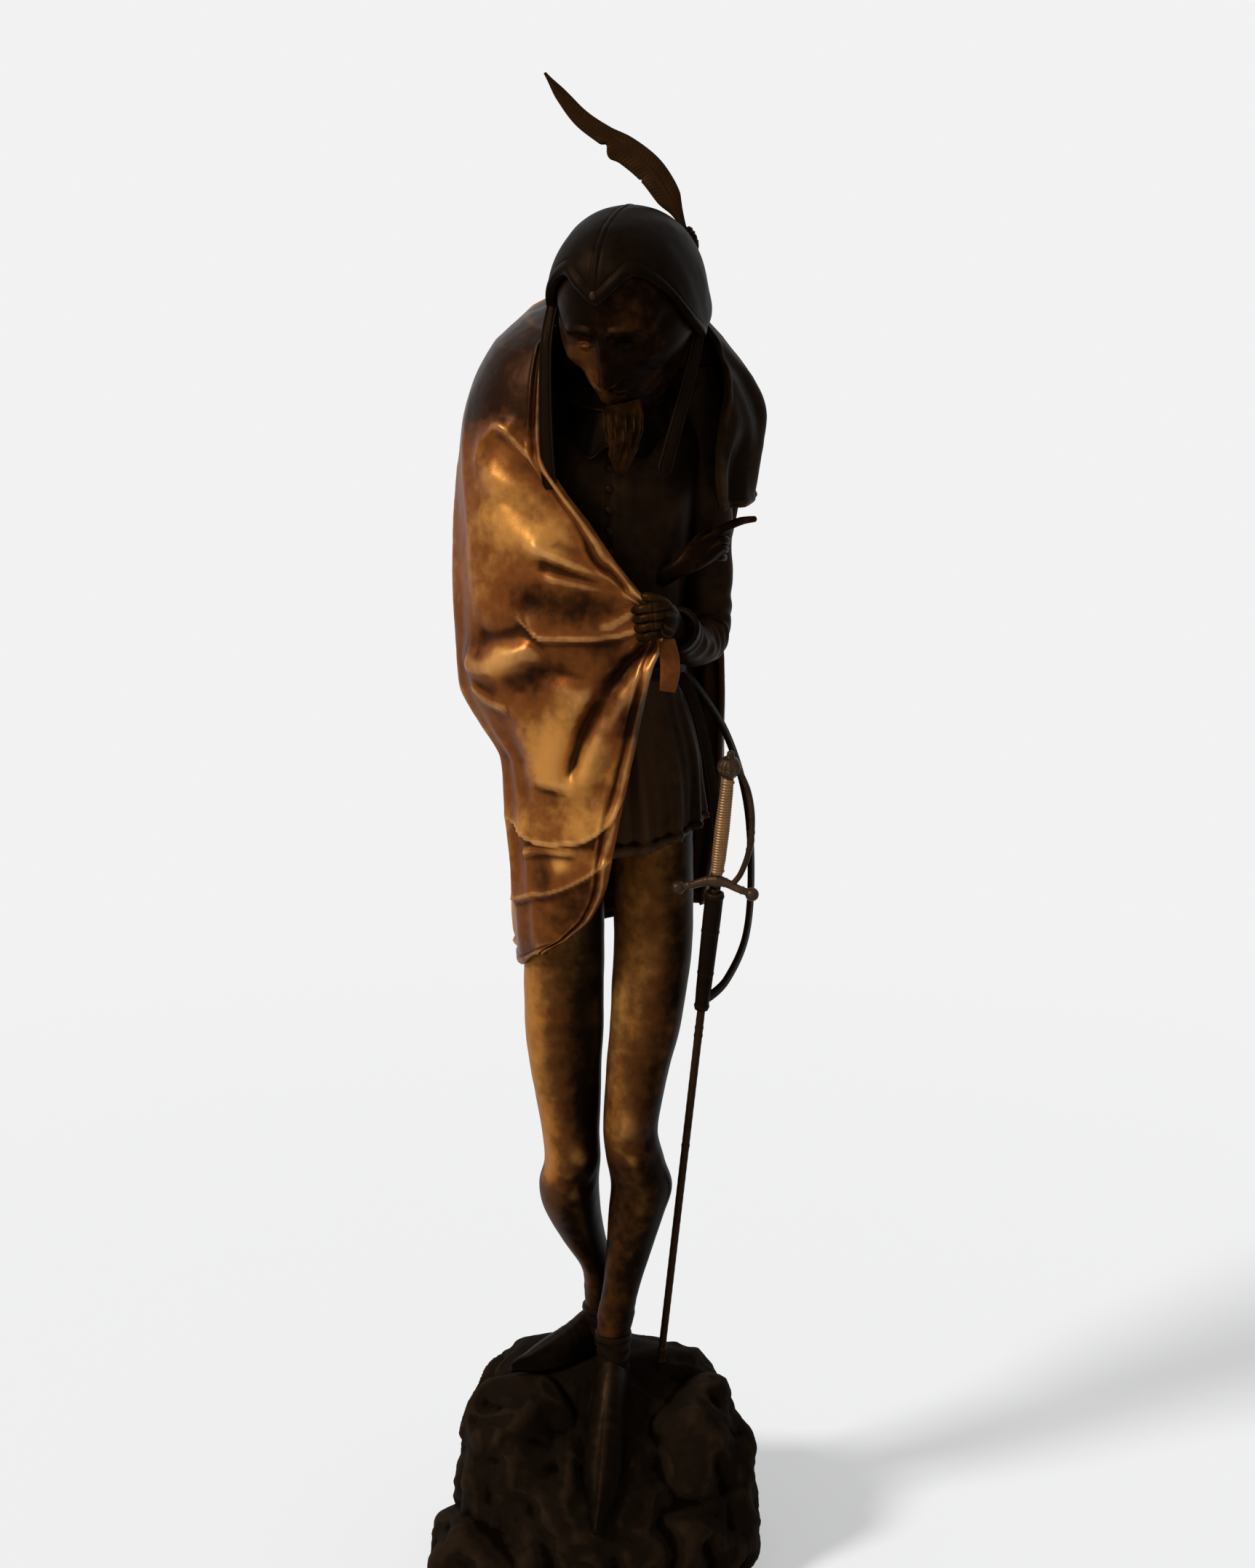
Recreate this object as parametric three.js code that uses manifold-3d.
// Bronze devil statue: a slim cloaked figure in a close cap with one long feather.
// It stands on a rock with a sword at its left side.
// Millimetres, Z up. The figure faces minus Y, so its right side is at minus X.
import * as THREE from 'three';
import { mergeVertices } from 'three/addons/utils/BufferGeometryUtils.js';
import Module from 'manifold-3d';

const wasm = await Module();
wasm.setup();

// Space left between two cast pieces that touch.
const CLEARANCE = 0.3;

// Faces thinner than this are merged after a cut.
const SLIVER = 0.01;

// Rock.
const ROCK_HALF_WIDTH = 100;
const ROCK_HALF_DEPTH = 94;
const ROCK_CENTRE_Z = 45;
const ROCK_WALL = 9;
const ROCK_ROOF = 111;
const ROCK_SHARPNESS = 22;
// Each face of the rock: direction, then distance from the rock's centre.
const ROCK_FACES = [
  [0.00, 0.03, 1.00, 80.5],
  [0.25, -0.58, 0.775, 65],
  [0.05, -1.00, 0.05, 96],
  [-0.62, -0.75, 0.20, 92],
  [0.65, -0.72, 0.10, 95],
  [1.00, 0.00, 0.08, 99],
  [0.93, 0.10, 0.37, 93],
  [0.44, 0.10, 0.90, 90],
  [0.74, 0.00, -0.67, 98],
  [-1.00, 0.00, 0.05, 83],
  [-0.83, 0.00, 0.56, 85],
  [-0.45, -0.20, 0.87, 91],
  [-0.80, 0.00, -0.60, 90],
  [0.00, 1.00, 0.10, 93],
  [-0.65, 0.72, 0.25, 90],
  [0.62, 0.74, 0.20, 92],
  [0.00, 0.62, 0.78, 90],
  [0.00, 0.80, -0.60, 92],
  [0.00, -0.85, -0.53, 92],
];
// Boulders that swell out of the rock: centre, then half sizes.
const BOULDERS = [
  [-60, -46, 22, 41, 43, 28],
  [-43, -20, 80, 38, 42, 44],
  [58, -10, 64, 40, 50, 45],
  [44, -50, 30, 42, 40, 36],
  [8, 48, 56, 60, 44, 54],
];
const BOULDER_FACETS = 15;

// Legs: height, centre x, centre y, half width, half depth.
const LEG_TOP = 474.7;
const ANKLE_TOP = 152;
const RIGHT_LEG = [
  [LEG_TOP, -15, 2, 22, 24.5],
  [440, -16, 1, 22.6, 25],
  [400, -17, 0, 23, 25],
  [372, -18, -1, 23, 24],
  [340, -18.5, -2, 22.8, 23],
  [318, -18, -3, 21, 21.5],
  [292, -16, -5, 18.8, 19],
  [272, -14.5, -7, 16.8, 18.6],
  [256, -13.5, -7, 16.4, 17.5],
  [240, -15.5, -2, 17.2, 18],
  [222, -14, 4, 16.4, 18],
  [200, -7.5, 11, 13.2, 15.5],
  [180, 0.5, 16, 10, 12],
  [165, 2.2, 18.5, 9, 10.8],
  [ANKLE_TOP + CLEARANCE, 2.5, 20, 9.2, 11],
];
const LEFT_LEG = [
  [LEG_TOP, 34.5, 2, 22.5, 24],
  [440, 34.5, 0, 23, 24.5],
  [400, 34.5, -3, 22.8, 24],
  [372, 32.5, -6, 22, 23],
  [340, 29, -9, 20.4, 21.5],
  [318, 25, -11, 18.6, 20],
  [296, 22, -14, 17, 19.5],
  [276, 20.5, -15, 16, 18],
  [258, 23.5, -12, 16.8, 17.5],
  [240, 27.5, -9, 17.4, 18],
  [222, 24.5, -8, 16, 17],
  [200, 20, -9, 13.4, 14],
  [180, 16, -10, 11.2, 11.6],
  [165, 13, -10.5, 10.4, 10.6],
  [ANKLE_TOP - 4 + CLEARANCE, 10.5, -10.5, 10, 10.6],
];

// Feet: heel and toe of each sole, and the ankle above it.
const RIGHT_SHOE = { heel: [14, 37, 127], toe: [-50, -21, 125.5], ankle: [2.5, 20, ANKLE_TOP], lift: 3 };
const LEFT_SHOE = { heel: [12, 6, 127], toe: [1, -90, 58], ankle: [10.5, -10.5, ANKLE_TOP - 4], lift: 4 };
// Along the foot: share of its length, half width, height above the sole.
const SHOE_ROWS = [
  [0.00, 4.5, 10],
  [0.07, 8.5, 17],
  [0.18, 10.5, 23],
  [0.30, 10.8, 22],
  [0.42, 11.5, 17.5],
  [0.56, 12.5, 14],
  [0.70, 11.5, 11],
  [0.83, 8, 8.5],
  [0.93, 4.2, 6],
  [1.00, 1.2, 3],
];

// Trunk: height, centre x, centre y, half width, half depth.
const TRUNK_WALL = 5;
const TRUNK_SIDES = 20;
const BELT_TOP = 553;
const BELT_HEIGHT = 7.7;
const TRUNK_FLOOR = 475;
const TRUNK_TOP = 706;
const TRUNK = [
  [TRUNK_FLOOR, 9, 3, 46.5, 31],
  [500, 9, 3, 45.5, 31],
  [528, 9, 3, 41, 29],
  [548, 9, 2, 38, 27],
  [580, 9, 0, 40, 28.5],
  [620, 9, -2, 46, 33],
  [652, 9, -1, 50, 37],
  [678, 10, 3, 50, 37],
  [695, 11, 6, 42, 32],
  [TRUNK_TOP, 12, 7, 30, 25],
];

// Studs and bolts.
const STUD_RADIUS = 3;
const NUT_RADIUS = 6.2;
const WASHER_RADIUS = 8;
const PIN_RADIUS = 2.5;
const NECK_STUD_AT = [14, 4];

// Head: centre, half sizes and how it is held.
const HEAD_CENTRE = new THREE.Vector3(20, -36, 748);
const HEAD_PITCH = THREE.MathUtils.degToRad(25);
const HEAD_YAW = THREE.MathUtils.degToRad(-22);
const HEAD_HALF = { side: 36, front: 41, back: 45, up: 49.5, down: 53 };
const CAP_THICKNESS = 5.6;
const CAP_GAP = 1.2;

// Cloak: the upright line that its outline is measured from.
const CLOAK_AXIS = { x: 8, y: 5 };
const CLOAK_WALL = 4;
const CLOAK_ROUNDING = 0.85;
// Height, left x, right x, front y, back y, drop toward the front.
const CLOAK_ROWS = [
  [753, -20, 50, -24, 26, 11],
  [745, -37, 60, -36, 42, 9],
  [731, -54, 73, -46, 54, 5],
  [712, -65, 88, -52, 60, 2],
  [690, -72, 96, -56, 62, 0],
  [662, -75, 90, -58, 62, 0],
  [635, -75.5, 87.5, -60, 60, 0],
  [600, -76.4, 80, -63, 57, 0],
  [565, -76, 79, -62, 54, 0],
  [540, -74.5, 80, -58, 52, 0],
  [522, -65, 80, -54, 51, 0],
  [502, -53, 79, -51, 50, 0],
  [470, -50.5, 78, -48.5, 49, 0],
  [430, -47.5, 74, -47.5, 48, 0],
  [400, -46.8, 68, -47, 47, 0],
  [376, -45, 62, -46, 46, 0],
];
// The wrap's free edge: height, x.
const WRAP_EDGE = [
  [753, -16],
  [735, -24],
  [700, -26],
  [672, -25],
  [655, -15],
  [637, -1],
  [618, 12],
  [600, 26],
  [588, 38],
  [574, 40],
  [558, 33],
  [530, 27],
  [500, 21],
  [460, 13],
  [430, 7],
  [405, -2],
  [388, -14],
  [376, -27],
];
// The left shoulder's free edge: height, x.
const SHOULDER_EDGE = [
  [753, 49.8],
  [745, 59],
  [731, 69],
  [712, 72],
  [690, 69],
  [660, 67],
  [632, 70],
];
const SEAM_FRONT = THREE.MathUtils.degToRad(108);
const SEAM_LEFT = THREE.MathUtils.degToRad(246);
const SHOULDER_HEM = 642;
const BACK_HEM_RISE = 26;
// The point at the waist that the hand holds and the folds run to.
const GATHER = { turn: THREE.MathUtils.degToRad(-25), z: 585, spread: 68 };
// Fold lines seen from the front: height, half width, how far the cloth above the line
// stands over the cloth below it, then points as x and z. A height below 0 is a valley.
const FRONT_FOLDS = [
  [2.6, 2.6, 0, [-52, 688], [-44, 683], [-25, 662], [-5, 635], [14, 614], [32, 595]],
  [-2.4, 6, 0, [-42, 674], [-21, 649], [2, 622], [28, 599]],
  [3.4, 3.4, 0, [-34, 624], [-23, 620], [-9, 614], [6, 608], [22, 601], [32, 594]],
  [2.6, 10, 0, [-58, 672], [-49, 650], [-38, 634], [-23, 622]],
  [2.0, 3, 0, [-27, 608], [-5, 604], [14, 600], [31, 593]],
  [-1.8, 4, 0, [-30, 616], [-5, 609], [20, 600]],
  [1.4, 2.2, 3.2, [-43, 587], [-36, 580], [-27, 574], [-9, 574], [8, 575], [22, 578], [34, 583]],
  [1.6, 2.4, 0, [5, 580], [18, 588], [31, 593]],
  [5.5, 8, 0, [-69, 559], [-60, 556], [-45, 563], [-27, 570]],
  [-2.2, 6, 0, [-66, 574], [-45, 576], [-33, 582]],
  [-2.6, 10, 0, [-50, 543], [-29, 553], [-6, 560], [22, 570]],
  [-6.5, 4.2, 0, [36, 577], [26, 566], [14, 552], [2, 536], [-6, 521], [-12, 499]],
  [5.0, 15, 0, [-6, 554], [-16, 529], [-22, 505], [-24, 486]],
  [3.0, 5, 0, [34, 564], [20, 548], [10, 529], [0, 508], [-6, 489]],
  [0.8, 2.4, 3.4, [-48, 467], [-39, 459], [-29, 455], [-10, 457], [0, 461], [10, 470], [19, 487]],
  [2.0, 2.4, 0, [-39, 448], [-29, 452], [-8, 453]],
  [1.2, 2.2, 2.2, [-50, 412], [-35, 423], [-23, 427], [-6, 436], [12, 449]],
  [1.8, 4, 0, [-63, 664], [-60, 678], [-50, 688], [-40, 686]],
];
// The same at the side, where the first number is the way round from the gather.
const SIDE_FOLDS = [
  [1.2, 6, 0, [120, 700], [105, 640], [95, 600], [80, 570]],
  [3.2, 6, 0, [135, 660], [125, 600], [118, 540], [112, 470], [108, 400]],
  [1.5, 6, 0, [100, 520], [92, 480], [85, 430], [82, 390]],
  [2.5, 3.6, 0, [102, 545], [91, 537], [76, 533]],
];
// How far up from its line a step in the cloth fades out.
const STEP_FADE = 16;
const FOLD_FINENESS = 3;

// Sword: the tip in the rock and the line that it lifts along.
const SWORD_TIP = new THREE.Vector3(39, 10.5, 118);
const SWORD_LINE = new THREE.Vector3(36.2, -54, 380.7).normalize();
const SWORD = { blade: 2.4, chape: 2.6, tang: 1.5, guardAt: 316.5, gripEnd: 381.5, pommel: 6.4, reach: 20 };
const FROG = { from: 239, to: 312, radius: 5.2, bore: 2.9 };

// Feather: the clasp's seat seen from the head's middle, how proud of the cap its mouth is,
// and the line of its stem.
const CLASP_SEAT = { turn: THREE.MathUtils.degToRad(151.5), rise: THREE.MathUtils.degToRad(32.02) };
const CLASP_PROUD = 1.55;
const STEM_LINE = new THREE.Vector3(-0.42, 0.16, 0.88).normalize();
const PEG = { radius: 1.4, length: 9 };

const METAL = {
  cloak: { color: 0x6f4a22, roughness: 0.42 },
  skin: { color: 0x5c3d1f, roughness: 0.4 },
  dark: { color: 0x2b1d12, roughness: 0.45 },
  rock: { color: 0x21170f, roughness: 0.62 },
  sword: { color: 0x6b4a26, roughness: 0.35 },
  fixing: { color: 0x7d7361, roughness: 0.5 },
};

// Shapes.

function vec(x, y, z) {
  return new THREE.Vector3(x, y, z);
}

function at(list) {
  return new THREE.Vector3(list[0], list[1], list[2]);
}

function meshOf(points, faces) {
  let volume = 0;
  for (const [a, b, c] of faces) {
    volume += points[a].dot(points[b].clone().cross(points[c]));
  }
  const order = volume < 0 ? [0, 2, 1] : [0, 1, 2];
  const geometry = new THREE.BufferGeometry();
  const positions = points.flatMap((p) => [p.x, p.y, p.z]);
  geometry.setAttribute('position', new THREE.Float32BufferAttribute(positions, 3));
  geometry.setIndex(faces.flatMap((face) => order.map((i) => face[i])));
  return geometry;
}

// Joins closed rings with a skin and closes both ends.
function loft(rings) {
  const count = rings[0].length;
  const points = rings.flat();
  const faces = [];
  for (let r = 0; r + 1 < rings.length; r += 1) {
    for (let j = 0; j < count; j += 1) {
      const k = (j + 1) % count;
      const a = r * count + j;
      const b = r * count + k;
      faces.push([a, b, b + count], [a, b + count, a + count]);
    }
  }
  for (const end of [0, rings.length - 1]) {
    const middle = rings[end].reduce((sum, p) => sum.add(p), vec(0, 0, 0)).divideScalar(count);
    const hub = points.push(middle) - 1;
    for (let j = 0; j < count; j += 1) {
      const a = end * count + j;
      const b = end * count + ((j + 1) % count);
      faces.push(end === 0 ? [hub, b, a] : [hub, a, b]);
    }
  }
  return meshOf(points, faces);
}

// A smooth row between the rows of a table, by its place in the table.
function rowAt(rows, place) {
  const last = rows.length - 1;
  const i = Math.min(Math.max(Math.floor(place), 0), last - 1);
  const t = Math.min(Math.max(place - i, 0), 1);
  const before = rows[Math.max(i - 1, 0)];
  const a = rows[i];
  const b = rows[i + 1];
  const after = rows[Math.min(i + 2, last)];
  return a.map((value, k) => {
    const slopeA = (b[k] - before[k]) / 2;
    const slopeB = (after[k] - a[k]) / 2;
    const t2 = t * t;
    const t3 = t2 * t;
    return (2 * t3 - 3 * t2 + 1) * value + (t3 - 2 * t2 + t) * slopeA
      + (3 * t2 - 2 * t3) * b[k] + (t3 - t2) * slopeB;
  });
}

// The place in a table whose first column reaches a value.
function placeOf(rows, value) {
  const down = rows[0][0] > rows[rows.length - 1][0];
  for (let i = 0; i + 1 < rows.length; i += 1) {
    const inside = down ? value >= rows[i + 1][0] : value <= rows[i + 1][0];
    if (inside) {
      const share = (value - rows[i][0]) / (rows[i + 1][0] - rows[i][0]);
      return i + Math.min(Math.max(share, 0), 1);
    }
  }
  return rows.length - 1;
}

function smooth(low, high, value) {
  const t = Math.min(Math.max((value - low) / (high - low), 0), 1);
  return t * t * (3 - 2 * t);
}

function bell(value, width) {
  return Math.exp(-(value / width) * (value / width));
}

// A body of upright build from rows of height, centre and half sizes.
function column(rows, steps, sides, change) {
  const rings = [];
  for (let i = 0; i <= steps; i += 1) {
    const [z, x, y, halfX, halfY] = rowAt(rows, (i / steps) * (rows.length - 1));
    const ring = [];
    for (let j = 0; j < sides; j += 1) {
      const turn = (j / sides) * 2 * Math.PI;
      const out = 1 + (change ? change(turn, z) : 0);
      ring.push(vec(x + halfX * out * Math.sin(turn), y - halfY * out * Math.cos(turn), z));
    }
    rings.push(ring);
  }
  return loft(rings);
}

// A bar along a path, with its own width and thickness at each point.
function bar(path, sizes, sides, facing) {
  const points = path.map(at);
  const rings = points.map((point, i) => {
    const before = points[Math.max(i - 1, 0)];
    const after = points[Math.min(i + 1, points.length - 1)];
    const along = after.clone().sub(before).normalize();
    const side = along.clone().cross(facing).normalize();
    const out = side.clone().cross(along).normalize();
    const [wide, thick] = sizes[i];
    return Array.from({ length: sides }, (_, j) => {
      const turn = ((j + 0.5) / sides) * 2 * Math.PI;
      return point.clone()
        .addScaledVector(side, wide * Math.cos(turn))
        .addScaledVector(out, thick * Math.sin(turn));
    });
  });
  return loft(rings);
}

function rod(from, to, radius, sides = 16, endRadius = radius) {
  const facing = Math.abs(to.clone().sub(from).normalize().y) > 0.9 ? vec(1, 0, 0) : vec(0, -1, 0);
  const path = [from.toArray(), to.toArray()];
  return bar(path, [[radius, radius], [endRadius, endRadius]], sides, facing);
}

// The bore of a rod, longer than it by the clearance at each end.
function longer(from, to, radius) {
  const over = to.clone().sub(from).setLength(CLEARANCE);
  return rod(from.clone().sub(over), to.clone().add(over), radius);
}

// A round body about a line: rows of distance along the line and radius.
function turned(origin, line, rows, sides) {
  const path = rows.map(([along]) => origin.clone().addScaledVector(line, along).toArray());
  return bar(path, rows.map(([, radius]) => [radius, radius]), sides, vec(0, -1, 0));
}

function ball(centre, radii, sides = 14, rows = 9) {
  const rings = [];
  for (let i = 0; i < rows; i += 1) {
    const rise = ((i + 0.6) / (rows + 0.2)) * Math.PI;
    rings.push(Array.from({ length: sides }, (_, j) => {
      const turn = (j / sides) * 2 * Math.PI;
      return vec(
        centre[0] + radii[0] * Math.sin(rise) * Math.cos(turn),
        centre[1] + radii[1] * Math.sin(rise) * Math.sin(turn),
        centre[2] + radii[2] * Math.cos(rise),
      );
    }));
  }
  return loft(rings);
}

// A wall between two skins on one grid. The grid closes on itself or has four edges.
function wall(outer, inner, columns, rows, closed) {
  const across = closed ? columns : columns + 1;
  const points = [];
  for (const skin of [outer, inner]) {
    for (let j = 0; j <= rows; j += 1) {
      for (let i = 0; i < across; i += 1) {
        points.push(skin(i / columns, j / rows));
      }
    }
  }
  const layer = across * (rows + 1);
  const id = (side, i, j) => side * layer + j * across + (i % across);
  const faces = [];
  const quad = (a, b, c, d) => faces.push([a, b, c], [a, c, d]);
  for (let j = 0; j < rows; j += 1) {
    for (let i = 0; i < columns; i += 1) {
      quad(id(0, i, j), id(0, i + 1, j), id(0, i + 1, j + 1), id(0, i, j + 1));
      quad(id(1, i, j), id(1, i, j + 1), id(1, i + 1, j + 1), id(1, i + 1, j));
    }
    if (!closed) {
      quad(id(0, 0, j), id(0, 0, j + 1), id(1, 0, j + 1), id(1, 0, j));
      quad(id(0, columns, j), id(1, columns, j), id(1, columns, j + 1), id(0, columns, j + 1));
    }
  }
  for (let i = 0; i < columns; i += 1) {
    quad(id(0, i, 0), id(1, i, 0), id(1, i + 1, 0), id(0, i + 1, 0));
    quad(id(0, i, rows), id(0, i + 1, rows), id(1, i + 1, rows), id(1, i, rows));
  }
  return meshOf(points, faces);
}

// Joining and cutting.

function solid(geometry) {
  const bare = new THREE.BufferGeometry();
  bare.setAttribute('position', geometry.getAttribute('position').clone());
  if (geometry.index) {
    bare.setIndex(geometry.index.clone());
  }
  const merged = mergeVertices(bare, 1e-5);
  const mesh = new wasm.Mesh({
    numProp: 3,
    vertProperties: new Float32Array(merged.getAttribute('position').array),
    triVerts: new Uint32Array(merged.index.array),
  });
  return new wasm.Manifold(mesh);
}

function shapeOf(body) {
  const pieces = body.decompose();
  pieces.sort((a, b) => b.volume() - a.volume());
  const mesh = pieces[0].simplify(SLIVER).getMesh();
  const geometry = new THREE.BufferGeometry();
  geometry.setAttribute('position', new THREE.Float32BufferAttribute(mesh.vertProperties, 3));
  geometry.setIndex(Array.from(mesh.triVerts));
  return geometry;
}

function join(...shapes) {
  return shapeOf(shapes.map(solid).reduce((sum, next) => sum.add(next)));
}

// The same shape with its skin moved outward.
function grow(geometry, distance = CLEARANCE) {
  const bare = new THREE.BufferGeometry();
  bare.setAttribute('position', geometry.getAttribute('position').clone());
  bare.setIndex(geometry.index.clone());
  const merged = mergeVertices(bare, 1e-4);
  merged.computeVertexNormals();
  const spots = merged.getAttribute('position');
  const normals = merged.getAttribute('normal');
  for (let i = 0; i < spots.count; i += 1) {
    spots.setXYZ(
      i,
      spots.getX(i) + normals.getX(i) * distance,
      spots.getY(i) + normals.getY(i) * distance,
      spots.getZ(i) + normals.getZ(i) * distance,
    );
  }
  merged.deleteAttribute('normal');
  return merged;
}

function cut(geometry, ...tools) {
  return shapeOf(tools.map(solid).reduce((rest, tool) => rest.subtract(tool), solid(geometry)));
}

const statue = new THREE.Group();
statue.name = 'bronze_devil_statue';
const made = new Map();

// Adds a piece, cut back so that it only touches the pieces it is fitted to.
function place(name, geometry, finish, fittedTo = []) {
  const tools = fittedTo.flatMap((other) => [grow(made.get(other)), made.get(other)]);
  const shape = tools.length > 0 ? cut(geometry, ...tools) : geometry;
  made.set(name, shape);
  const material = new THREE.MeshStandardMaterial({ ...METAL[finish], metalness: 0.9 });
  const mesh = new THREE.Mesh(shape, material);
  mesh.name = name;
  statue.add(mesh);
  return shape;
}

// Base and feet.

// How far the rock's skin is from its centre in a direction.
function rockReach(way) {
  let sum = 0;
  for (const [x, y, z, distance] of ROCK_FACES) {
    const facing = (way.x * x + way.y * y + way.z * z) / Math.hypot(x, y, z);
    if (facing > 0) {
      sum += (facing / distance) ** ROCK_SHARPNESS;
    }
  }
  const lumps = 0.022 * Math.sin(7 * way.x + 3 * way.z) * Math.sin(6 * way.y - 4 * way.z + 1)
    + 0.012 * Math.sin(13 * way.x - 9 * way.y + 5 * way.z);
  return sum ** (-1 / ROCK_SHARPNESS) * (1 + lumps * (1 - smooth(0.75, 0.95, way.z)));
}

function boulder(sides, rows, reach, centre) {
  const rings = [];
  for (let i = 0; i < rows; i += 1) {
    const rise = ((i + 0.5) / rows) * Math.PI;
    rings.push(Array.from({ length: sides }, (_, j) => {
      const turn = (j / sides) * 2 * Math.PI;
      const way = vec(Math.sin(rise) * Math.cos(turn), Math.sin(rise) * Math.sin(turn), Math.cos(rise));
      return centre.clone().addScaledVector(way, reach(way));
    }));
  }
  return loft(rings);
}

// A boulder with soft flats that face evenly spread directions.
function boulderReach(radii, twist) {
  return (way) => {
    let sum = 0;
    for (let k = 0; k < BOULDER_FACETS; k += 1) {
      const height = 1 - (2 * k + 1) / BOULDER_FACETS;
      const turn = k * 2.399 + twist;
      const wide = Math.sqrt(1 - height * height);
      const facing = way.x * wide * Math.cos(turn) + way.y * wide * Math.sin(turn) + way.z * height;
      sum += Math.max(facing, 0) ** 18;
    }
    const round = 1 / Math.hypot(way.x / radii[0], way.y / radii[1], way.z / radii[2]);
    return round * Math.min(sum ** (-1 / 18) * 0.94, 1.12);
  };
}

const rockCentre = vec(0, 0, ROCK_CENTRE_Z);
let bigRock = solid(boulder(30, 17, rockReach, rockCentre));
for (const [k, [x, y, z, ...radii]] of BOULDERS.entries()) {
  bigRock = bigRock.add(solid(boulder(14, 8, boulderReach(radii, k * 1.7), vec(x, y, z))));
}
const wholeRock = bigRock.trimByPlane([0, 0, 1], 0);
const rockBox = wholeRock.boundingBox();
const stretchX = (2 * ROCK_HALF_WIDTH) / (rockBox.max[0] - rockBox.min[0]);
const stretchY = (2 * ROCK_HALF_DEPTH) / (rockBox.max[1] - rockBox.min[1]);
const middleX = (rockBox.max[0] + rockBox.min[0]) / 2;
const middleY = (rockBox.max[1] + rockBox.min[1]) / 2;
const placedRock = wholeRock.translate([-middleX, -middleY, 0]).scale([stretchX, stretchY, 1]);
const hollowReach = (way) => rockReach(way) - ROCK_WALL - 3 * Math.abs(way.z);
const hollow = solid(boulder(24, 14, hollowReach, rockCentre)).trimByPlane([0, 0, -1], -ROCK_ROOF);
const openBottom = solid(rod(vec(0, 0, -2), vec(0, 0, 30), 60, 24));
const rockBody = placedRock.subtract(hollow).subtract(openBottom);

// A pointed shoe along its sole, with a short ankle.
function shoe({ heel, toe, ankle, lift }) {
  const start = at(heel);
  const along = at(toe).sub(start);
  const length = along.length();
  along.normalize();
  const side = along.clone().cross(vec(0, 0, 1)).normalize();
  const up = side.clone().cross(along).normalize();
  const rings = [];
  const steps = 11;
  for (let i = 0; i <= steps; i += 1) {
    const [share, wide, high] = rowAt(SHOE_ROWS, (i / steps) * (SHOE_ROWS.length - 1));
    const tipUp = lift * smooth(0.8, 1, share);
    const middle = start.clone().addScaledVector(along, share * length).addScaledVector(up, tipUp);
    rings.push(Array.from({ length: 12 }, (_, j) => {
      const turn = (j / 12) * 2 * Math.PI;
      const level = Math.cos(turn) > 0 ? high * Math.cos(turn) : 2.5 * Math.cos(turn);
      return middle.clone()
        .addScaledVector(side, wide * Math.sin(turn))
        .addScaledVector(up, level);
    }));
  }
  const [x, y, z] = ankle;
  const cuff = column([
    [z - 22, x, y, 9.5, 12],
    [z - 11, x, y, 10, 12],
    [z - 4, x, y, 10.2, 11.8],
    [z, x, y, 11, 12.4],
  ], 4, 16);
  return join(loft(rings), cuff);
}

const rockShape = shapeOf(rockBody);
const rockGrown = grow(rockShape);
const footings = [
  ['right', RIGHT_SHOE, RIGHT_LEG],
  ['left', LEFT_SHOE, LEFT_LEG],
];
const fixings = [];
for (const [, foot] of footings) {
  const [x, y, z] = foot.ankle;
  fixings.push(rod(vec(x, y, ROCK_ROOF - 14), vec(x, y, z + 22), STUD_RADIUS + CLEARANCE, 16));
  fixings.push(rod(vec(x, y, ROCK_ROOF - 40), vec(x, y, ROCK_ROOF), WASHER_RADIUS + 1.5, 16));
}
const swordSocket = turned(SWORD_TIP, SWORD_LINE, [[-0.6, 3.1], [14, 3.1]], 16);
place('rock_base', cut(rockShape, ...fixings, swordSocket), 'rock');

for (const [side, foot, leg] of footings) {
  const [x, y, z] = foot.ankle;
  const hole = rod(vec(x, y, 60), vec(x, y, z + 22 + CLEARANCE), STUD_RADIUS + CLEARANCE, 16);
  place(`shoe_${side}`, cut(shoe(foot), rockGrown, hole), 'dark');
  const muscle = (turn, height) => 0.03 * Math.cos(3 * turn + height / 40) * smooth(170, 230, height);
  const hip = rod(vec(leg[0][1], leg[0][2], LEG_TOP - 24), vec(leg[0][1], leg[0][2], 500), STUD_RADIUS + CLEARANCE);
  place(`leg_${side}`, cut(column(leg, 22, 14, muscle), hole, hip), 'skin', [`shoe_${side}`]);
}
for (const [side, foot] of footings) {
  const [x, y, z] = foot.ankle;
  const seat = ROCK_ROOF - CLEARANCE;
  place(`foot_stud_${side}`, rod(vec(x, y, ROCK_ROOF - 13), vec(x, y, z + 22), STUD_RADIUS, 16), 'fixing');
  const bore = rod(vec(x, y, 80), vec(x, y, 130), STUD_RADIUS + CLEARANCE, 16);
  const washer = rod(vec(x, y, seat - 2), vec(x, y, seat), WASHER_RADIUS, 24);
  place(`foot_washer_${side}`, cut(washer, bore), 'fixing');
  const nutTop = seat - 2 - CLEARANCE;
  const nut = rod(vec(x, y, nutTop - 6), vec(x, y, nutTop), NUT_RADIUS, 6);
  place(`foot_nut_${side}`, cut(nut, bore), 'fixing');
}

// Body.

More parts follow.
